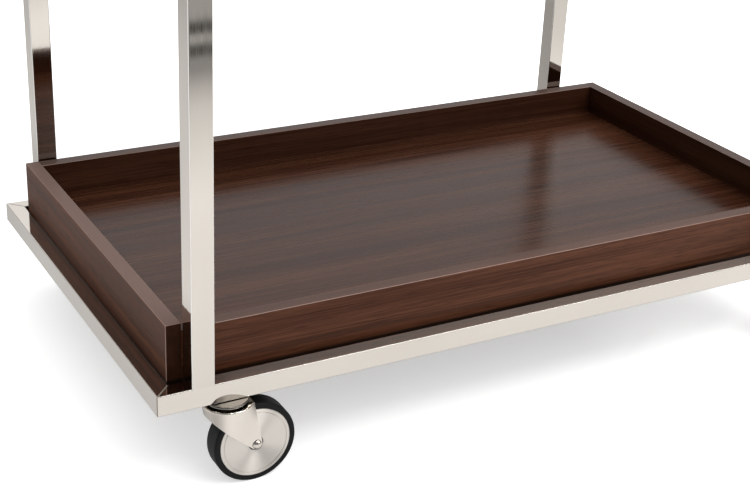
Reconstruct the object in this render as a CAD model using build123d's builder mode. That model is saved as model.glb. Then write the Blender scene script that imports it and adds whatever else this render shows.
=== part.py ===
"""Two-tier bar cart on four swivel casters.

Two mitred frames of tube stand on each other by four posts. A wooden tray lies loose in each frame.
Millimetres, +Z up, +X along the length, the front towards -Y. The origin is on the floor, under the middle.
"""
import os

from build123d import *

# Frames and posts
frame_length = 930.0
frame_depth = 540.0
rail_depth = 19.0
rail_height = 23.5
post_side = 25.0
left_post_inset = 38.0  # from a frame's left end to the post
right_post_inset = 80.0
post_length = 620.0
bearer_width = 20.0
bearer_height = 10.0
bearer_inset = 200.0  # from a frame's end to the bearer's middle
tube_wall = 1.5
tube_round = 1.2  # outside corner of every tube
mitre_line = 0.5  # step around a mitred end

# Trays
tray_end_gap = 2.0  # between the tray and the short rails
tray_side_gap = 3.5  # between the tray and the posts
wall_thickness = 17.0
wall_rise = 63.0  # side and back walls, above the rails
front_wall_rise = 55.0
floor_rise = 23.0  # top of the floor, above the rails
floor_thickness = 12.0
tongue_thickness = 8.0  # edge of the floor, in the grooves
groove_depth = 6.0
groove_gap = 0.2
wood_round = 1.2
dowel_diameter = 8.0
dowel_length = 30.0
dowel_seat = 12.0  # depth of a dowel in the side wall
dowel_gap = 0.1
pad_diameter = 14.0
pad_thickness = 2.0

# Casters
caster_inset = 80.0  # from a frame's end to the swivel axis
trail = 28.0  # from the swivel axis to the axle
wheel_diameter = 93.0
tyre_width = 23.0
tyre_depth = 8.0
tyre_round = 2.2
cover_overlap = 1.5  # of a wheel cover over the tyre's inner edge
cover_thickness = 2.0
cover_round = 0.9
cover_lip = 3.6  # ring outside the turned line of a cover
line_width = 0.9
line_depth = 0.7
cover_gap = 0.2
rim_depth = 4.0
web_thickness = 8.0
hub_diameter = 17.0
bush_wall = 2.0
axle_diameter = 8.0
axle_head_diameter = 11.0
axle_head_height = 2.6
axle_head_lift = 1.6  # of a head off its leg, which leans out above it
leg_gap = 1.5  # between the tyre and a fork leg
hub_gap = 0.5  # between the hub and a fork leg
fork_sheet = 2.5
crown_swell = 11.5  # of the crown beyond the flat of each leg
leg_swell = 0.4  # the same, at the tips of the legs
fork_tip_radius = 6.2
fork_round = 1.5
crown_thickness = 2.5
crown_front = 24.5  # reach of the crown on the axle's side
crown_run = 3.0  # of the crown's outline past that reach
crown_neck = 24.4  # width where the outline ends
skirt_drop = 8.0  # height of the crown's skirt behind
race_diameter = 36.0  # raised ring on the crown
race_height = 1.2
wheel_headroom = 3.0
swivel_gap = 0.4
raceway_diameter = 46.0
raceway_height = 3.0
raceway_round = 1.2
stem_diameter = 8.0
stem_head_diameter = 14.0
stem_head_height = 2.4
stem_tip = 2.0  # of a stem above its nut
nut_height = 6.5
nut_gap = 0.5
fit_gap = 0.05  # between fixed round pieces
running_gap = 0.06  # between turning round pieces

# Heights, from the floor up
crown_bottom = wheel_diameter + wheel_headroom
crown_top = crown_bottom + crown_thickness
race_top = crown_top + race_height
raceway_bottom = race_top + swivel_gap
raceway_top = raceway_bottom + raceway_height
lower_rail_bottom = raceway_top
lower_rail_top = lower_rail_bottom + rail_height
upper_rail_bottom = lower_rail_top + post_length
rail_bottoms = {"lower": lower_rail_bottom, "upper": upper_rail_bottom}

# Places in plan
rail_x = (frame_length - rail_depth) / 2
rail_y = (frame_depth - rail_depth) / 2
post_x = {
    "left": (post_side - frame_length) / 2 + left_post_inset,
    "right": (frame_length - post_side) / 2 - right_post_inset,
}
post_y = (frame_depth - post_side) / 2
bearer_x = frame_length / 2 - bearer_inset
caster_x = frame_length / 2 - caster_inset
tray_length = frame_length - 2 * (rail_depth + tray_end_gap)
tray_depth = frame_depth - 2 * (max(rail_depth, post_side) + tray_side_gap)
inner_length = tray_length - 2 * wall_thickness
inner_depth = tray_depth - 2 * wall_thickness
side_wall_x = (tray_length - wall_thickness) / 2
end_wall_y = (tray_depth - wall_thickness) / 2

# Round sizes of a caster
wheel_radius = wheel_diameter / 2
tyre_half = tyre_width / 2
rim_radius = wheel_radius - tyre_depth
rim_half = tyre_half - cover_thickness
cover_radius = rim_radius + cover_overlap
fork_inner = tyre_half + leg_gap
fork_outer = fork_inner + fork_sheet
crown_radius = fork_outer + crown_swell
hub_half = fork_inner - hub_gap
hub_radius = hub_diameter / 2
axle_radius = axle_diameter / 2
bush_bore = axle_radius + running_gap
bush_radius = bush_bore + bush_wall
stem_radius = stem_diameter / 2

left_right = {"left": -1, "right": 1}
front_back = {"front": -1, "back": 1}
corners = {f"{end}_{side}": (x, y) for end, y in front_back.items() for side, x in left_right.items()}
caster_places = [(x * caster_x, y * rail_y) for x, y in corners.values()]


def save(piece, name):
    """Labels a finished piece and writes it to a file of its own name."""
    piece.part.label = name
    export_step(piece.part, f"parts/{name}.step")


def mitre(x, y, along_length):
    """Plane through a frame corner at 45 degrees; its upper side is the rail along or across the length."""
    turn = 1 if along_length else -1
    return Plane((x * frame_length / 2, y * frame_depth / 2, 0), z_dir=(-x * turn, y * turn, 0))


def draw_tube(width, height, corner, bore_width, bore_height):
    """Section of a rectangular tube with square inside corners."""
    RectangleRounded(width, height, corner)
    Rectangle(bore_width, bore_height, mode=Mode.SUBTRACT)


def make_rail(name, section, half_length, mitres, stem_places=()):
    """Mitred tube whose skin stops just short of its ends, for a fine line at each corner of a frame."""
    bore = (rail_depth - 2 * tube_wall, rail_height - 2 * tube_wall)
    core_depth = rail_depth - 2 * mitre_line
    core_height = rail_height - 2 * mitre_line
    with BuildPart() as skin:
        with BuildSketch(section):
            draw_tube(rail_depth, rail_height, tube_round, *bore)
        extrude(amount=half_length, both=True)
        for end in mitres:
            split(bisect_by=end.offset(mitre_line), keep=Keep.TOP)
    with BuildPart() as rail:
        with BuildSketch(section):
            draw_tube(core_depth, core_height, tube_round - mitre_line, *bore)
        extrude(amount=half_length, both=True)
        for end in mitres:
            split(bisect_by=end, keep=Keep.TOP)
        add(skin.part)
        if stem_places:
            with BuildSketch(Plane.XY.offset(lower_rail_bottom)):
                with Locations(*stem_places):
                    Circle(stem_radius + fit_gap)
            extrude(amount=tube_wall, mode=Mode.SUBTRACT)
    save(rail, name)


def make_long_rail(tier, end, bottom):
    """Front or back rail; the lower ones have holes for the caster stems."""
    y = front_back[end]
    section = Plane((0, y * rail_y, bottom + rail_height / 2), x_dir=(0, 1, 0), z_dir=(1, 0, 0))
    mitres = [mitre(x, y, True) for x in left_right.values()]
    stem_places = [place for place in caster_places if place[1] == y * rail_y] if tier == "lower" else []
    make_rail(f"{tier}_{end}_rail", section, frame_length / 2, mitres, stem_places)


def make_short_rail(tier, side, bottom):
    """Left or right rail."""
    x = left_right[side]
    section = Plane((x * rail_x, 0, bottom + rail_height / 2), x_dir=(1, 0, 0), z_dir=(0, 1, 0))
    mitres = [mitre(x, y, False) for y in front_back.values()]
    make_rail(f"{tier}_{side}_rail", section, frame_depth / 2, mitres)


def make_bearer(tier, side, bottom):
    """Flat tube from the front rail to the back rail, which carries a tray."""
    x = left_right[side] * bearer_x
    with BuildPart() as bearer:
        with BuildSketch(Plane((x, 0, bottom + bearer_height / 2), x_dir=(1, 0, 0), z_dir=(0, 1, 0))):
            bore = (bearer_width - 2 * tube_wall, bearer_height - 2 * tube_wall)
            draw_tube(bearer_width, bearer_height, tube_round, *bore)
        extrude(amount=frame_depth / 2 - rail_depth, both=True)
    save(bearer, f"{tier}_{side}_bearer")


def make_post(corner):
    """Square tube between the long rails, ground flush with their outsides over their round edges."""
    end, side = corner.split("_")
    x = post_x[side]
    y = front_back[end]
    bore = post_side - 2 * tube_wall
    outside = y * frame_depth / 2
    with BuildPart() as post:
        with BuildSketch(Plane((x, y * post_y, lower_rail_top))):
            draw_tube(post_side, post_side, tube_round, bore, bore)
        extrude(amount=post_length)
        for joint, away in ((lower_rail_top, -tube_round), (upper_rail_bottom, tube_round)):
            with BuildSketch(Plane((x, 0, 0), x_dir=(0, 1, 0), z_dir=(1, 0, 0))):
                with BuildLine():
                    Polyline((outside - y * tube_round, joint), (outside, joint), (outside, joint + away))
                    TangentArc(
                        (outside, joint + away),
                        (outside - y * tube_round, joint),
                        tangent=(0, -away),
                    )
                make_face()
            extrude(amount=post_side / 2 - tube_round, both=True)
    save(post, f"{corner}_post")


def make_pads():
    """Felt discs on the bearers, under the front and back walls of the trays."""
    with BuildPart() as pads:
        for bottom in rail_bottoms.values():
            with BuildSketch(Plane.XY.offset(bottom + bearer_height)):
                with GridLocations(2 * bearer_x, 2 * end_wall_y, 2, 2):
                    Circle(pad_diameter / 2)
            extrude(amount=pad_thickness)
    save(pads, "bearer_pads")


def make_tray(tier, rail_bottom):
    """Loose tray: four walls joined by dowels, with the floor held in a groove around them."""
    rail_top = rail_bottom + rail_height
    bottom = rail_bottom + bearer_height + pad_thickness
    floor_top = rail_top + floor_rise
    floor_bottom = floor_top - floor_thickness
    dowel_heights = ((bottom + floor_bottom) / 2, (floor_top + rail_top + front_wall_rise) / 2)
    dowel_x = inner_length / 2 + dowel_seat - dowel_length / 2
    dowel_places = [
        (x * dowel_x, y * end_wall_y, height)
        for x in left_right.values()
        for y in front_back.values()
        for height in dowel_heights
    ]

    with BuildPart() as tongue:
        with BuildSketch(Plane.XY.offset(floor_bottom)):
            Rectangle(inner_length + 2 * groove_depth, inner_depth + 2 * groove_depth)
        extrude(amount=tongue_thickness)

    with BuildPart() as floor:
        add(tongue.part)
        with BuildSketch(Plane.XY.offset(floor_bottom)):
            Rectangle(inner_length - 2 * groove_gap, inner_depth - 2 * groove_gap)
        extrude(amount=floor_thickness)
    save(floor, f"{tier}_tray_floor")

    with BuildPart() as tongue_room:
        add(tongue.part)
        offset(amount=groove_gap, kind=Kind.INTERSECTION)

    with BuildPart() as dowels:
        with Locations(*dowel_places):
            Cylinder(dowel_diameter / 2, dowel_length, rotation=(0, 90, 0))
    save(dowels, f"{tier}_tray_dowels")

    with BuildPart() as dowel_room:
        with Locations(*dowel_places):
            Cylinder(dowel_diameter / 2 + dowel_gap, dowel_length + 2 * dowel_gap, rotation=(0, 90, 0))

    for side, x in left_right.items():
        with BuildPart() as side_wall:
            with BuildSketch(Plane((x * side_wall_x, 0, bottom))):
                Rectangle(wall_thickness, tray_depth)
            extrude(amount=rail_top + wall_rise - bottom)
            outside = side_wall.faces().sort_by(Axis.X)[0 if x < 0 else -1]
            upright = outside.edges().filter_by(Axis.Z)
            fillet(upright + side_wall.faces().sort_by(Axis.Z)[-1].edges(), wood_round)
            add(tongue_room.part, mode=Mode.SUBTRACT)
            add(dowel_room.part, mode=Mode.SUBTRACT)
        save(side_wall, f"{tier}_tray_{side}_wall")

    for end, y in front_back.items():
        rise = front_wall_rise if end == "front" else wall_rise
        with BuildPart() as end_wall:
            with BuildSketch(Plane((0, y * end_wall_y, bottom))):
                Rectangle(inner_length, wall_thickness)
            extrude(amount=rail_top + rise - bottom)
            fillet(end_wall.faces().sort_by(Axis.Z)[-1].edges().filter_by(Axis.X), wood_round)
            add(tongue_room.part, mode=Mode.SUBTRACT)
            add(dowel_room.part, mode=Mode.SUBTRACT)
        save(end_wall, f"{tier}_tray_{end}_wall")


def make_stems():
    """Pins with a head under each fork's crown, which turns on them, and a tip above the nut in the rail."""
    head_bottom = crown_bottom - swivel_gap - stem_head_height
    tip = lower_rail_bottom + tube_wall + nut_height + stem_tip
    with BuildPart() as stems:
        with BuildSketch(Plane.XY.offset(head_bottom)):
            with Locations(*caster_places):
                Circle(stem_head_diameter / 2)
        extrude(amount=stem_head_height)
        with BuildSketch(Plane.XY.offset(head_bottom)):
            with Locations(*caster_places):
                Circle(stem_radius)
        extrude(amount=tip - head_bottom)
    save(stems, "caster_stems")


def make_nuts():
    """Square nuts inside the lower long rails, which the tube keeps from turning."""
    nut_side = rail_depth - 2 * (tube_wall + nut_gap)
    with BuildPart() as nuts:
        with BuildSketch(Plane.XY.offset(lower_rail_bottom + tube_wall)):
            with Locations(*caster_places):
                Rectangle(nut_side, nut_side)
                Circle(stem_radius + fit_gap, mode=Mode.SUBTRACT)
        extrude(amount=nut_height)
    save(nuts, "stem_nuts")


def make_raceway(corner, x, y):
    """Fixed half of a swivel: a flat ring with a round rim, between the rail and the fork."""
    bore = stem_radius + fit_gap
    with BuildPart() as raceway:
        with BuildSketch(Plane((x, y, raceway_bottom), x_dir=(1, 0, 0), z_dir=(0, -1, 0))) as section:
            with Locations((bore, 0)):
                Rectangle(raceway_diameter / 2 - bore, raceway_height, align=Align.MIN)
            fillet(section.vertices().group_by(Axis.X)[-1], raceway_round)
        revolve(axis=Axis((x, y, 0), (0, 0, 1)))
    save(raceway, f"{corner}_raceway")


def draw_fork_plan(radius, front, half_width):
    """Fork from above: a half circle behind, and sides that sweep in to its front end."""
    with BuildLine() as outline:
        CenterArc((0, 0), radius, 90, 180)
        for side in front_back.values():
            TangentArc((0, side * radius), (front, side * half_width), tangent=(1, 0))
        Line((front, half_width), (front, -half_width))
    make_face(outline.edges())


def make_fork(corner, x, y):
    """Drawn yoke: a round crown with a skirt behind it and two legs that narrow towards the axle."""
    bottom = wheel_radius - fork_tip_radius
    leg_front = trail + 2 * fork_tip_radius
    with BuildPart() as inside:
        with BuildSketch(Plane((x, y, bottom))):
            draw_fork_plan(fork_inner + leg_swell, leg_front, fork_inner)
        with BuildSketch(Plane((x, y, crown_bottom))):
            draw_fork_plan(crown_radius - fork_sheet, crown_front + crown_run, crown_neck / 2 - fork_sheet)
        loft()
    with BuildPart() as fork:
        with BuildSketch(Plane((x, y, bottom))):
            draw_fork_plan(fork_outer + leg_swell, leg_front, fork_outer)
        with BuildSketch(Plane((x, y, crown_top))):
            draw_fork_plan(crown_radius, crown_front + crown_run, crown_neck / 2)
        loft()
        add(inside.part, mode=Mode.SUBTRACT)
        with BuildSketch(Plane((x, y, 0), x_dir=(1, 0, 0), z_dir=(0, -1, 0))):
            with Locations((trail, wheel_radius)):
                Circle(fork_tip_radius)
            with Locations((crown_front, crown_top)):
                Rectangle(crown_front + crown_radius + fork_sheet, skirt_drop, align=Align.MAX)
            make_hull()
        extrude(amount=crown_radius + fork_sheet, both=True, mode=Mode.INTERSECT)
        rim = fork.faces().sort_by(Axis.Z)[-1].edges().sort_by(Axis.X)[:-1]
        fillet(rim, fork_round)
        with BuildSketch(Plane((x, y, crown_top))):
            Circle(race_diameter / 2)
        extrude(amount=race_height)
        with BuildSketch(Plane((x, y, crown_bottom))):
            Circle(stem_radius + running_gap)
        extrude(amount=race_top - crown_bottom, mode=Mode.SUBTRACT)
        with BuildSketch(Plane((x + trail, y, wheel_radius), z_dir=(0, 1, 0))):
            Circle(axle_radius + fit_gap)
        extrude(amount=crown_radius, both=True, mode=Mode.SUBTRACT)
    save(fork, f"{corner}_fork")


def make_axle(corner, half_section, axis):
    """Pin through both fork legs, with a domed head at each end."""
    seat = fork_outer + axle_head_lift
    end = seat + axle_head_height
    head_radius = axle_head_diameter / 2
    with BuildPart() as axle:
        with BuildSketch(half_section):
            with BuildLine():
                TangentArc((-end, 0), (-seat, head_radius), tangent=(0, 1))
                Polyline((-seat, head_radius), (-seat, axle_radius), (seat, axle_radius), (seat, head_radius))
                TangentArc((end, 0), (seat, head_radius), tangent=(0, 1))
                Line((end, 0), (-end, 0))
            make_face()
        revolve(axis=axis)
    save(axle, f"{corner}_axle")


def make_bush(corner, half_section, axis):
    """Bearing sleeve in the hub."""
    with BuildPart() as bush:
        with BuildSketch(half_section):
            with Locations((0, bush_bore)):
                Rectangle(2 * hub_half, bush_wall, align=(Align.CENTER, Align.MIN))
        revolve(axis=axis)
    save(bush, f"{corner}_bush")


def make_wheel_core(corner, half_section, axis):
    """Hub, web and rim."""
    rim_bottom = rim_radius - rim_depth
    hub_bore = bush_radius + fit_gap
    with BuildPart() as core:
        with BuildSketch(half_section):
            with Locations((0, hub_bore)):
                Rectangle(2 * hub_half, hub_radius - hub_bore, align=(Align.CENTER, Align.MIN))
                Rectangle(web_thickness, rim_radius - hub_bore, align=(Align.CENTER, Align.MIN))
            with Locations((0, rim_bottom)):
                Rectangle(2 * rim_half, rim_depth, align=(Align.CENTER, Align.MIN))
        revolve(axis=axis)
    save(core, f"{corner}_wheel_core")


def make_covers(corner, half_section, axis):
    """Bright disc on each side of the rim, with a turned line inside its rounded lip."""
    hole = hub_radius + fit_gap
    line_top = cover_radius - cover_lip
    line_bottom = line_top - line_width
    with BuildPart() as covers:
        for side in front_back.values():
            face = side * tyre_half
            with BuildSketch(half_section):
                with BuildLine():
                    Polyline(
                        (side * (tyre_half - cover_round), cover_radius),
                        (side * rim_half, cover_radius),
                        (side * rim_half, hole),
                        (face, hole),
                        (face, line_bottom),
                        (side * (tyre_half - line_depth), line_bottom),
                        (side * (tyre_half - line_depth), line_top),
                        (face, line_top),
                        (face, cover_radius - cover_round),
                    )
                    TangentArc(
                        (face, cover_radius - cover_round),
                        (side * (tyre_half - cover_round), cover_radius),
                        tangent=(0, 1),
                    )
                make_face()
            revolve(axis=axis)
    save(covers, f"{corner}_wheel_covers")


def make_tyre(corner, half_section, axis):
    """Rubber tread around the rim, cut back where the covers lie over it."""
    seat_depth = cover_overlap + cover_gap
    with BuildPart() as tyre:
        with BuildSketch(half_section) as section:
            with Locations((0, rim_radius)):
                Rectangle(tyre_width, tyre_depth, align=(Align.CENTER, Align.MIN))
            fillet(section.vertices().group_by(Axis.Z)[-1], tyre_round)
            with Locations((-tyre_half, rim_radius), (tyre_half, rim_radius)):
                Rectangle(2 * cover_thickness, 2 * seat_depth, mode=Mode.SUBTRACT)
        revolve(axis=axis)
    save(tyre, f"{corner}_tyre")


def make_caster(corner):
    """All pieces of one caster, with its wheel trailing towards +X."""
    x = corners[corner][0] * caster_x
    y = corners[corner][1] * rail_y
    wheel_middle = (x + trail, y, wheel_radius)
    half_section = Plane(wheel_middle, x_dir=(0, 1, 0), z_dir=(1, 0, 0))
    axis = Axis(wheel_middle, (0, 1, 0))
    make_raceway(corner, x, y)
    make_fork(corner, x, y)
    for make_piece in (make_axle, make_bush, make_wheel_core, make_covers, make_tyre):
        make_piece(corner, half_section, axis)


os.makedirs("parts", exist_ok=True)
for tier_name, tier_bottom in rail_bottoms.items():
    for end_name in front_back:
        make_long_rail(tier_name, end_name, tier_bottom)
    for side_name in left_right:
        make_short_rail(tier_name, side_name, tier_bottom)
        make_bearer(tier_name, side_name, tier_bottom)
    make_tray(tier_name, tier_bottom)
for corner_name in corners:
    make_post(corner_name)
    make_caster(corner_name)
make_pads()
make_stems()
make_nuts()
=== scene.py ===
"""Looks of the two-tier bar cart: finishes, stage, light and camera.

Metres, +Z up, in the same frame as the solids. Every material is procedural, in the object's own coordinates.
"""
import math

import bpy
from mathutils import Matrix, Vector


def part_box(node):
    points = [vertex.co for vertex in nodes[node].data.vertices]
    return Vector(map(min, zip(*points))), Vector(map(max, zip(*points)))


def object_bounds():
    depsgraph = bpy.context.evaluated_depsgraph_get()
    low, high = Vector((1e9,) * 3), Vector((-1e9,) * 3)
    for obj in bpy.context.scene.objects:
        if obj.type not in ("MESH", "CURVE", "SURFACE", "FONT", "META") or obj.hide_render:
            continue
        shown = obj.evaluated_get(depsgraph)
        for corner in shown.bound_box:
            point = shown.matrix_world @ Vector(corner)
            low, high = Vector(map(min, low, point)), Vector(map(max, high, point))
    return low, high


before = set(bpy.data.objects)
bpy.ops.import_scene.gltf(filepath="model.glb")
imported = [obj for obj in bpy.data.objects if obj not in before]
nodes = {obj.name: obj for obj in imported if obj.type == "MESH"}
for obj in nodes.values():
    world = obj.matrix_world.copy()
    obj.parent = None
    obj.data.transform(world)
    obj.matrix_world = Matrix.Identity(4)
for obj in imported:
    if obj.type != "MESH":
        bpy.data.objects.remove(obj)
solid_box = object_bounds()
half_length, half_depth = solid_box[1][0], solid_box[1][1]
rail_end = (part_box("lower_right_rail")[1][0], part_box("lower_back_rail")[1][1])

tiers = ("lower", "upper")
corners = ("front_left", "front_right", "back_left", "back_right")
axes = "XYZ"
white = (1, 1, 1, 1)

# Ranges: most values of a noise, and how far a surface faces an axis on flat faces, on rounded edges and on
# the upper and lower edges of a tube.
usual_noise = (0.3, 0.7)
flat_face = (0.9, 0.99)
rounded_edge = (0.80, 0.97)
upper_edge = (0.2, 0.5)
lower_edge = (-0.45, -0.1)

# Half the width of the ground weld along a mitre, without and with its soft border.
weld_line = (0.0008, 0.0016)

# Nickel: dark and light tone, painted highlight on a post's upright edges, a darker tone on edges that face
# down, painted highlight on the upper edges of a rail and painted reflection along the top of a long one.
nickel_tones = ((0.67, 0.62, 0.56), (0.72, 0.67, 0.61))
post_edge_highlight = (0.95, 0.94, 0.92)
# Darker tone on rounded edges that face down.
underside_edge_colour = (0.05, 0.045, 0.04)
# Share of painted reflection along the top of a long rail, by the distance along it.
top_reflection_stops = [(-0.42, 0.0), (-0.38, 0.11), (0.3, 0.2), (0.46, 0.2)]

# Steel discs: dark and light rings.
steel_tones = ((0.82, 0.77, 0.71), (0.90, 0.85, 0.79))

# Wood: tones from dark to light grain, the places that differ, some of them painted sheen, highlight and
# shadow, and the look of each board, with its painted shading.
lacquer_tint = (1.0, 0.88, 0.85, 1)
wood_grain = (0.7, 1.3)
wood_tones = [(0.2, (0.044, 0.014, 0.0064)), (0.5, (0.070, 0.0245, 0.0118)), (0.8, (0.102, 0.038, 0.0195))]
pore_rim = (0.56, 0.66)
pore_wall = (0.56, 0.68)
pore_colour = (0.020, 0.006, 0.003)
end_grain_colour = (0.012, 0.004, 0.002)
# Painted sheen on the tops of the walls.
top_sheen_colour = (0.21, 0.145, 0.125)
# Painted highlight on the rounded edges of the boards.
edge_highlight_colour = (0.42, 0.31, 0.27)
# Painted shadow in the gap between a wall's foot and the rail, and its height.
gap_shadow_colour = (0.004, 0.002, 0.001)
gap_shadow_height = 0.003
# Each board's painted shading: the floor and inner walls darker and the left wall lighter, by the light they
# get.
boards = {
    "floor": {"along": "X", "painted_shading": 0.8, "specular": 0.17, "roughness": 0.24, "painted_top_sheen": 0.0},
    "front_wall": {"along": "X", "painted_shading": 1.0, "specular": 0.12, "roughness": 0.34, "painted_top_sheen": 0.25},
    "back_wall": {"along": "X", "painted_shading": 0.65, "specular": 0.12, "roughness": 0.34, "painted_top_sheen": 0.25},
    "left_wall": {"along": "Y", "painted_shading": 1.15, "specular": 0.04, "roughness": 0.34, "painted_top_sheen": 0.78},
    "right_wall": {"along": "Y", "painted_shading": 0.5, "specular": 0.10, "roughness": 0.34, "painted_top_sheen": 0.25},
}
board_shift = (3.1, 1.7, 0)
tier_shift = (0, 5, 2.3)

# Level of the floor that metal mirrors, by the distance from the middle of the cart to each side.
front_stops = [(1.0, 0.96), (1.2, 0.82), (1.4, 0.66), (1.5, 0.48), (1.6, 0.26), (1.66, 0.28), (1.70, 0.07)]
front_stops += [(1.74, 0.07), (1.78, 0.40), (1.81, 0.40), (1.84, 0.06), (1.89, 0.06), (1.94, 0.36)]
back_stops = [(0.15, 1.0), (0.6, 0.82), (1.0, 0.74), (1.6, 0.6)]
left_stops = [(0.42, 1.0), (0.48, 0.78), (0.56, 0.80), (0.60, 1.0), (0.8, 1.0), (1.3, 0.9)]
right_stops = [(0.75, 1.0), (0.95, 0.8), (1.3, 0.7)]


def add_node(tree, kind, inputs=(), **settings):
    """New shader node; inputs are pairs of a socket and its value or the socket that feeds it."""
    node = tree.nodes.new(kind)
    for name, value in settings.items():
        setattr(node, name, value)
    for socket, value in inputs:
        if isinstance(value, bpy.types.NodeSocket):
            tree.links.new(value, node.inputs[socket])
        else:
            node.inputs[socket].default_value = value
    return node


def math_node(tree, operation, *values):
    """Result of one arithmetic step."""
    return add_node(tree, "ShaderNodeMath", enumerate(values), operation=operation).outputs[0]


def product(tree, first, *others):
    """All the values multiplied."""
    for other in others:
        first = math_node(tree, "MULTIPLY", first, other)
    return first


def length_of(tree, vector):
    """Length of a vector."""
    return add_node(tree, "ShaderNodeVectorMath", [(0, vector)], operation="LENGTH").outputs["Value"]


def link(tree, value, shader, socket):
    """Feeds one socket of a shader."""
    tree.links.new(value, shader.inputs[socket])


def start_material(name, constants=()):
    """New material, its node tree, its shader with the given constants, and the object's coordinates."""
    material = bpy.data.materials.new(name)
    material.use_nodes = True
    tree = material.node_tree
    shader = tree.nodes["Principled BSDF"]
    for socket, value in constants:
        shader.inputs[socket].default_value = value
    place = add_node(tree, "ShaderNodeTexCoord").outputs["Object"]
    return material, tree, shader, place


def stretched(tree, place, along, length, width, shift=(0, 0, 0)):
    """Coordinates in units of a mark's length along one axis and its width across it."""
    scale = [1 / width] * 3
    scale[axes.index(along)] = 1 / length
    node = add_node(tree, "ShaderNodeMapping", [("Vector", place), ("Location", shift), ("Scale", scale)])
    return node.outputs["Vector"]


def noise(tree, place, detail, rough=0.5):
    """Noise of unit size in the given coordinates."""
    inputs = [("Vector", place), ("Scale", 1.0), ("Detail", detail), ("Roughness", rough)]
    return add_node(tree, "ShaderNodeTexNoise", inputs).outputs["Fac"]


def remap(tree, value, source, result):
    """A value from one range spread over another; a range is a pair of its ends."""
    inputs = [("Value", value), ("From Min", source[0]), ("From Max", source[1])]
    inputs += [("To Min", result[0]), ("To Max", result[1])]
    return add_node(tree, "ShaderNodeMapRange", inputs).outputs["Result"]


def ramp(tree, value, stops):
    """Colour ramp with (position, colour) stops; a single number is a grey."""
    node = add_node(tree, "ShaderNodeValToRGB", [("Fac", value)])
    elements = node.color_ramp.elements
    for _ in stops[2:]:
        elements.new(0.5)
    for element, (position, colour) in zip(elements, stops):
        element.position = position
        element.color = (*colour, 1) if isinstance(colour, tuple) else (colour, colour, colour, 1)
    return node.outputs["Color"]


def falloff(tree, distance, stops):
    """Grey level along a distance in metres, from (distance, level) stops."""
    near, far = stops[0][0], stops[-1][0]
    places = [((at - near) / (far - near), level) for at, level in stops]
    return ramp(tree, remap(tree, distance, (near, far), (0, 1)), places)


def two_tone(tree, texture, dark, light):
    """Colour from dark to light over the usual range of a noise."""
    return ramp(tree, texture, list(zip(usual_noise, (dark, light))))


def scaled(colour, factor):
    """A darker or lighter colour."""
    return tuple(factor * part for part in colour)


def mix(tree, share, first, second):
    """First colour, with a share of a second, constant one; the colour sockets go by number."""
    first_socket, second_socket, result_socket = 6, 7, 2
    inputs = [("Factor", share), (first_socket, first), (second_socket, (*second, 1))]
    return add_node(tree, "ShaderNodeMix", inputs, data_type="RGBA").outputs[result_socket]


def bump(tree, height, depth, under=None):
    """Bump from a height of 0 to 1, with its depth in metres, over another bump's normal."""
    inputs = [("Height", height), ("Distance", depth), ("Strength", 1.0)]
    if under:
        inputs.append(("Normal", under))
    return add_node(tree, "ShaderNodeBump", inputs).outputs["Normal"]


def parts_of(tree, vector, operation=None):
    """X, Y and Z of a vector, after one step of vector arithmetic if it is named."""
    if operation:
        vector = add_node(tree, "ShaderNodeVectorMath", [(0, vector)], operation=operation).outputs["Vector"]
    return add_node(tree, "ShaderNodeSeparateXYZ", [("Vector", vector)]).outputs


def facing(tree, operation="ABSOLUTE"):
    """How far the surface faces the object's own X, Y and Z, either way unless told otherwise."""
    return parts_of(tree, add_node(tree, "ShaderNodeTexCoord").outputs["Normal"], operation)


def edges(tree, sides, share):
    """The share on rounded edges, which face no axis, and 0 on flat faces."""
    most = math_node(tree, "MAXIMUM", sides["X"], sides["Y"])
    most = math_node(tree, "MAXIMUM", most, sides["Z"])
    return remap(tree, most, rounded_edge, (share, 0))


def mitre_lines(tree, place, share):
    """The share on a fine line along each mitre of the frames, where the weld is ground, and 0 elsewhere."""
    across = parts_of(tree, place, "ABSOLUTE")
    offset = math_node(tree, "SUBTRACT", across["X"], across["Y"])
    offset = math_node(tree, "SUBTRACT", offset, rail_end[0] - rail_end[1])
    return remap(tree, math_node(tree, "ABSOLUTE", offset), weld_line, (share, 0))


def rail_highlights(tree, place, along, edge, upward):
    """Share of painted highlight on the upper edges of a rail, and of painted reflection on top of a long
    one; both show as matte metal.
    """
    highlight_share = math_node(tree, "MULTIPLY", edge, remap(tree, upward, upper_edge, (0, 0.5)))
    if along == "X":
        top_reflection = falloff(tree, parts_of(tree, place)["X"], top_reflection_stops)
        highlight_share = math_node(tree, "MULTIPLY_ADD", top_reflection, remap(tree, upward, flat_face, (0, 1)), highlight_share)
    return highlight_share


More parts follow.
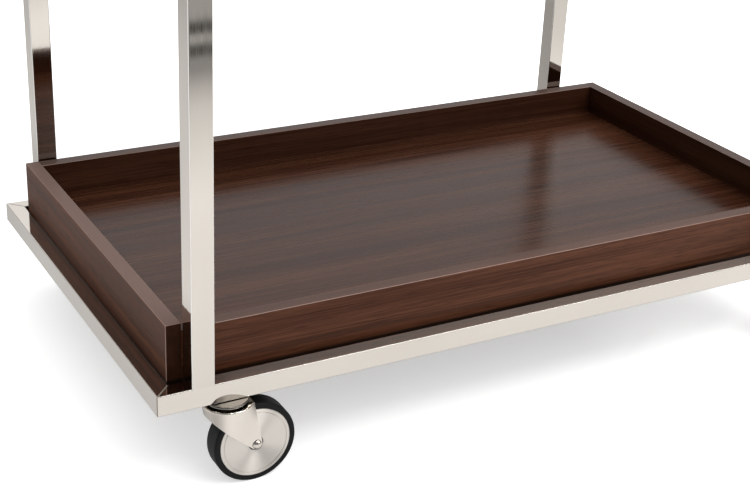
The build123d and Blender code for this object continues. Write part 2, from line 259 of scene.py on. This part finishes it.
def polished_nickel(name, along, painted_brightness=1.0, upright_highlight=0.0):
    """Mirror-polished nickel with polishing marks along a tube, duller edges, and a darker tone on edges that
    face down.

    Rails, which lie along X or Y, get a painted highlight on their upper edges, and a long one gets a painted
    reflection on top; a post gets a painted highlight along its upright edges. A painted brightness above 1
    makes a lit copy of the nickel, and below 1 a shaded one.
    """
    material, tree, shader, place = start_material(name, [("Metallic", 1.0)])
    marks = noise(tree, stretched(tree, place, along, length=0.12, width=0.0008), detail=4)
    smudges = noise(tree, stretched(tree, place, along, length=0.25, width=0.06), detail=3)
    waves = noise(tree, stretched(tree, place, along, length=0.35, width=0.012), detail=1)
    edge = edges(tree, facing(tree), share=1)
    upward = facing(tree, operation=None)["Z"]
    # A painted brightness scales the tone: a lit copy of the nickel above 1, a shaded copy below 1.
    tone = two_tone(tree, smudges, *(scaled(colour, painted_brightness) for colour in nickel_tones))
    highlight_share = None
    # Painted highlight on a rail's upper edges and painted reflection on a long rail's top, as matte metal.
    if along != "Z":
        highlight_share = rail_highlights(tree, place, along, edge, upward)
    # A post gets a painted highlight: a pale tone, as matte metal, along its upright edges.
    elif upright_highlight:
        highlight_share = math_node(tree, "MULTIPLY", edge, upright_highlight)
        tone = mix(tree, highlight_share, tone, post_edge_highlight)
    if highlight_share:
        link(tree, math_node(tree, "SUBTRACT", 1.0, highlight_share), shader, "Metallic")
    # Darker tone on rounded edges that face down.
    darker_below = math_node(tree, "MULTIPLY", edge, remap(tree, upward, lower_edge, (0.9, 0)))
    link(tree, mix(tree, darker_below, tone, underside_edge_colour), shader, "Base Color")
    edge_dullness = 0.2
    gloss = remap(tree, marks, usual_noise, (0.03, 0.07))
    gloss = math_node(tree, "MULTIPLY_ADD", edge, edge_dullness, gloss)
    link(tree, math_node(tree, "ADD", gloss, mitre_lines(tree, place, share=0.5)), shader, "Roughness")
    wavy = bump(tree, waves, depth=0.00004)
    link(tree, bump(tree, marks, depth=0.000003, under=wavy), shader, "Normal")
    return material


def dark_wood(name, shift, foot, along, painted_shading, specular, roughness, painted_top_sheen):
    """Dark lacquered wood: straight grain and dark end grain, with the board's painted shading, painted sheen
    on top, painted highlight on the edges and painted shadow at the foot.
    """
    constants = [("Specular IOR Level", specular), ("Specular Tint", lacquer_tint)]
    material, tree, shader, place = start_material(name, constants)
    bands = noise(tree, stretched(tree, place, along, length=0.8, width=0.02, shift=shift), detail=3)
    fine = stretched(tree, place, along, length=0.25, width=0.0024, shift=shift)
    streaks = noise(tree, fine, detail=4, rough=0.6)
    pores = noise(tree, stretched(tree, place, along, length=0.03, width=0.0007, shift=shift), detail=1)
    grain = remap(tree, math_node(tree, "ADD", bands, streaks), wood_grain, (0, 1))
    # The board's painted shading makes its tones darker or lighter by the light it gets.
    tone = ramp(tree, grain, [(at, scaled(colour, painted_shading)) for at, colour in wood_tones])
    tone = mix(tree, remap(tree, pores, pore_rim, (0, 0.6)), tone, pore_colour)
    sides = facing(tree)
    tone = mix(tree, remap(tree, sides[along], flat_face, (0, 0.8)), tone, end_grain_colour)
    # Painted sheen on the top faces.
    tone = mix(tree, remap(tree, sides["Z"], flat_face, (0, painted_top_sheen)), tone, top_sheen_colour)
    # Painted highlight on the rounded edges.
    tone = mix(tree, edges(tree, sides, share=0.7), tone, edge_highlight_colour)
    # Painted shadow in the gap at the wall's foot, just below the rail's top.
    low = remap(tree, parts_of(tree, place)["Z"], (foot - gap_shadow_height, foot), (0.9, 0))
    link(tree, mix(tree, low, tone, gap_shadow_colour), shader, "Base Color")
    gloss = remap(tree, streaks, usual_noise, (roughness - 0.08, roughness + 0.08))
    link(tree, gloss, shader, "Roughness")
    hollows = remap(tree, pores, pore_wall, (1, 0))
    ridges = bump(tree, streaks, depth=0.000004)
    link(tree, bump(tree, hollows, depth=0.000008, under=ridges), shader, "Normal")
    return material


def turned_steel():
    """Disc turned on a lathe: fine rings, with highlights that fan out from the middle."""
    constants = [("Metallic", 1.0), ("Anisotropic", 0.95), ("Anisotropic Rotation", 0.25)]
    material, tree, shader, _ = start_material("turned_steel", constants)
    across = add_node(tree, "ShaderNodeTexCoord").outputs["Generated"]
    inputs = [("Vector", across), ("Location", (-0.5, 0, -0.5)), ("Scale", (1, 0, 1))]
    radius = length_of(tree, add_node(tree, "ShaderNodeMapping", inputs).outputs["Vector"])
    inputs = [("W", radius), ("Scale", 150.0), ("Detail", 3.0)]
    rings = add_node(tree, "ShaderNodeTexNoise", inputs, noise_dimensions="1D").outputs["Fac"]
    link(tree, two_tone(tree, rings, *steel_tones), shader, "Base Color")
    link(tree, remap(tree, rings, usual_noise, (0.42, 0.52)), shader, "Roughness")
    tangent = add_node(tree, "ShaderNodeTangent", direction_type="RADIAL", axis="Y").outputs["Tangent"]
    link(tree, tangent, shader, "Tangent")
    return material


def plain(name, colour, roughness, grain, depth, constants=()):
    """Plain finish with fine grain in its colour, gloss and surface."""
    material, tree, shader, place = start_material(name, constants)
    fine = noise(tree, stretched(tree, place, "X", length=grain, width=grain), detail=4)
    link(tree, two_tone(tree, fine, scaled(colour, 0.8), colour), shader, "Base Color")
    link(tree, remap(tree, fine, usual_noise, (roughness - 0.05, roughness + 0.05)), shader, "Roughness")
    link(tree, bump(tree, fine, depth), shader, "Normal")
    return material


def finish_node(name, material):
    """Gives a node's object one material."""
    mesh = nodes[name].data
    mesh.materials.clear()
    mesh.materials.append(material)


def finish_frame():
    """Nickel on the tubes and forks, and plain finishes on the hidden fittings."""
    nickel = {along: polished_nickel(f"polished_nickel_{along.lower()}", along) for along in axes}
    # Forks get a lit copy and raceways a shaded copy of the nickel: painted light and painted shade.
    lit_fork_nickel = polished_nickel("polished_nickel_fork", "Z", painted_brightness=1.14)
    shaded_race_nickel = polished_nickel("polished_nickel_race", "Z", painted_brightness=0.3)
    # Posts get a painted highlight along their upright edges.
    post_nickel = polished_nickel("polished_nickel_post", "Z", upright_highlight=0.85)
    plated = plain("plated_steel", (0.62, 0.61, 0.59), roughness=0.25, grain=0.0015, depth=0.000004,
                   constants=[("Metallic", 1.0)])
    felt = plain("felt", (0.10, 0.09, 0.08), roughness=0.95, grain=0.0006, depth=0.0002)
    for tier in tiers:
        for rail in ("front", "back"):
            finish_node(f"{tier}_{rail}_rail", nickel["X"])
        for side in ("left", "right"):
            finish_node(f"{tier}_{side}_rail", nickel["Y"])
            finish_node(f"{tier}_{side}_bearer", nickel["Y"])
    for corner in corners:
        finish_node(f"{corner}_post", post_nickel)
        finish_node(f"{corner}_raceway", shaded_race_nickel)
        finish_node(f"{corner}_fork", lit_fork_nickel)
        finish_node(f"{corner}_axle", nickel["Z"])
    finish_node("caster_stems", plated)
    finish_node("stem_nuts", plated)
    finish_node("bearer_pads", felt)


def finish_trays():
    """Dark wood on the boards, each with grain of its own, and bare beech dowels."""
    beech = plain("beech", (0.62, 0.46, 0.30), roughness=0.6, grain=0.002, depth=0.00005)
    for step, tier in enumerate(tiers):
        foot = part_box(f"{tier}_front_rail")[1][2]
        for number, (board, look) in enumerate(boards.items()):
            shift = [number * across + step * up for across, up in zip(board_shift, tier_shift)]
            finish_node(f"{tier}_tray_{board}", dark_wood(f"dark_wood_{tier}_{board}", shift, foot, **look))
        finish_node(f"{tier}_tray_dowels", beech)


def finish_wheels():
    """Rubber tyres, bright discs, and plastic inside the wheels."""
    rubber = plain("rubber", (0.006, 0.006, 0.0065), roughness=0.42, grain=0.0008, depth=0.00003,
                   constants=[("Specular IOR Level", 0.15)])
    plastic = plain("wheel_plastic", (0.06, 0.06, 0.065), roughness=0.5, grain=0.001, depth=0.00002)
    nylon = plain("nylon", (0.85, 0.84, 0.80), roughness=0.45, grain=0.001, depth=0.00002)
    turned = turned_steel()
    for corner in corners:
        finish_node(f"{corner}_tyre", rubber)
        finish_node(f"{corner}_wheel_core", plastic)
        finish_node(f"{corner}_bush", nylon)
        finish_node(f"{corner}_wheel_covers", turned)


def add_camera():
    """Camera fitted to the photograph's edges, with no shift."""
    eye = (-0.9054, -1.4651, 0.8800)
    yaw = math.radians(29.784)
    pitch = math.radians(-24.767)
    roll = math.radians(2.642)
    data = bpy.data.cameras.new("camera")
    data.lens = 69.81
    data.clip_end = 100
    camera = bpy.data.objects.new("camera", data)
    heading = Matrix.Rotation(-yaw, 4, "Z")
    tilt = Matrix.Rotation(math.pi / 2 + pitch, 4, "X")
    camera.matrix_world = Matrix.Translation(eye) @ (heading @ tilt @ Matrix.Rotation(roll, 4, "Z"))
    bpy.context.collection.objects.link(camera)
    bpy.context.scene.camera = camera


def ray_kinds(tree):
    """1 for rays that show the background straight or through glass, and 1 for rays that show it by gloss."""
    path = add_node(tree, "ShaderNodeLightPath").outputs
    straight = math_node(tree, "MAXIMUM", path["Is Camera Ray"], path["Is Transmission Ray"])
    return straight, path["Is Glossy Ray"]


def studio_level(tree, place):
    """How bright the floor looks in the metal: white near the cart, dim under it, dark gaps far in front."""
    parts = parts_of(tree, place)
    x, y = parts["X"], parts["Y"]
    front = falloff(tree, math_node(tree, "MULTIPLY", y, -1.0), front_stops)
    back = falloff(tree, y, back_stops)
    left = falloff(tree, math_node(tree, "MULTIPLY", x, -1.0), left_stops)
    right = falloff(tree, x, right_stops)
    # Painted shade on the mirrored floor behind the cart, towards the left.
    behind = remap(tree, y, (0.3, 0.6), (0, 1))
    dimmed = remap(tree, x, (-0.55, -0.35), (0, -0.4))
    painted_shading = math_node(tree, "MULTIPLY_ADD", behind, dimmed, 1.0)
    inside_x = math_node(tree, "DIVIDE", math_node(tree, "ABSOLUTE", x), half_length)
    inside_y = math_node(tree, "DIVIDE", math_node(tree, "ABSOLUTE", y), half_depth)
    under = remap(tree, math_node(tree, "MAXIMUM", inside_x, inside_y), (0.75, 1.1), (0.25, 1.0))
    return product(tree, front, back, left, right, painted_shading, under)


def add_floor():
    """Pale floor that reads as white where it is lit, and keeps the cart's shadow."""
    half = 12.0
    mesh = bpy.data.meshes.new("floor")
    points = [(-half, -half, 0), (half, -half, 0), (half, half, 0), (-half, half, 0)]
    mesh.from_pydata(points, [], [(0, 1, 2, 3)])
    floor = bpy.data.objects.new("floor", mesh)
    bpy.context.collection.objects.link(floor)
    constants = [("Roughness", 0.9), ("Specular IOR Level", 0.0), ("Emission Color", white)]
    material, tree, shader, place = start_material("floor", constants)
    straight, glossy = ray_kinds(tree)
    level = studio_level(tree, place)
    plain_colour, mirrored_colour, mirrored_glow = 0.80, 0.42, 0.55
    change = math_node(tree, "MULTIPLY_ADD", level, mirrored_colour, -plain_colour)
    link(tree, math_node(tree, "MULTIPLY_ADD", glossy, change, plain_colour), shader, "Base Color")
    far_glow = remap(tree, length_of(tree, place), (0.6, 1.1), (0.49, 0.80))
    side_glow = remap(tree, parts_of(tree, place)["X"], (0.15, 0.5), (0, 0.25))
    shown = math_node(tree, "MULTIPLY", straight, math_node(tree, "ADD", far_glow, side_glow))
    mirrored = product(tree, glossy, level, mirrored_glow)
    link(tree, math_node(tree, "ADD", shown, mirrored), shader, "Emission Strength")
    mesh.materials.append(material)


def add_world():
    """White surroundings; metal and lacquer see a dark room on the camera's side."""
    world = bpy.data.worlds.new("studio")
    world.use_nodes = True
    bpy.context.scene.world = world
    tree = world.node_tree
    background = tree.nodes["Background"]
    straight, glossy = ray_kinds(tree)
    direction = add_node(tree, "ShaderNodeTexCoord").outputs["Generated"]
    fill = remap(tree, parts_of(tree, direction)["Z"], (0.15, 0.9), (0.35, 1.4))
    backdrop = [(0, direction), (1, (0.5, 0.87, 0))]
    towards = add_node(tree, "ShaderNodeVectorMath", backdrop, operation="DOT_PRODUCT").outputs["Value"]
    room = remap(tree, towards, (0.55, 0.80), (0.2, 1.0))
    shown = math_node(tree, "MULTIPLY", straight, math_node(tree, "SUBTRACT", 1.0, fill))
    mirrored = math_node(tree, "MULTIPLY", glossy, math_node(tree, "SUBTRACT", room, fill))
    strength = math_node(tree, "ADD", math_node(tree, "ADD", shown, mirrored), fill)
    link(tree, strength, background, "Strength")
    background.inputs["Color"].default_value = white


def add_softbox(name, width, depth, energy, place, target):
    """Rectangular lamp that faces a point."""
    lamp = bpy.data.lights.new(name, "AREA")
    lamp.shape = "RECTANGLE"
    lamp.size = width
    lamp.size_y = depth
    lamp.energy = energy
    softbox = bpy.data.objects.new(name, lamp)
    softbox.location = place
    softbox.rotation_euler = (Vector(target) - Vector(place)).to_track_quat("-Z", "Y").to_euler()
    bpy.context.collection.objects.link(softbox)


finish_frame()
finish_trays()
finish_wheels()
add_camera()
add_floor()
add_world()
add_softbox("key_light", width=1.4, depth=1.0, energy=10, place=(1.13, -2.05, 1.2), target=(0, 0, 0.1))
add_softbox("strip_light", width=3.0, depth=0.15, energy=28, place=(0.8, -1.3, 2.2), target=(0.2, -0.2, 0.2))
bpy.context.scene.view_settings.view_transform = "Standard"
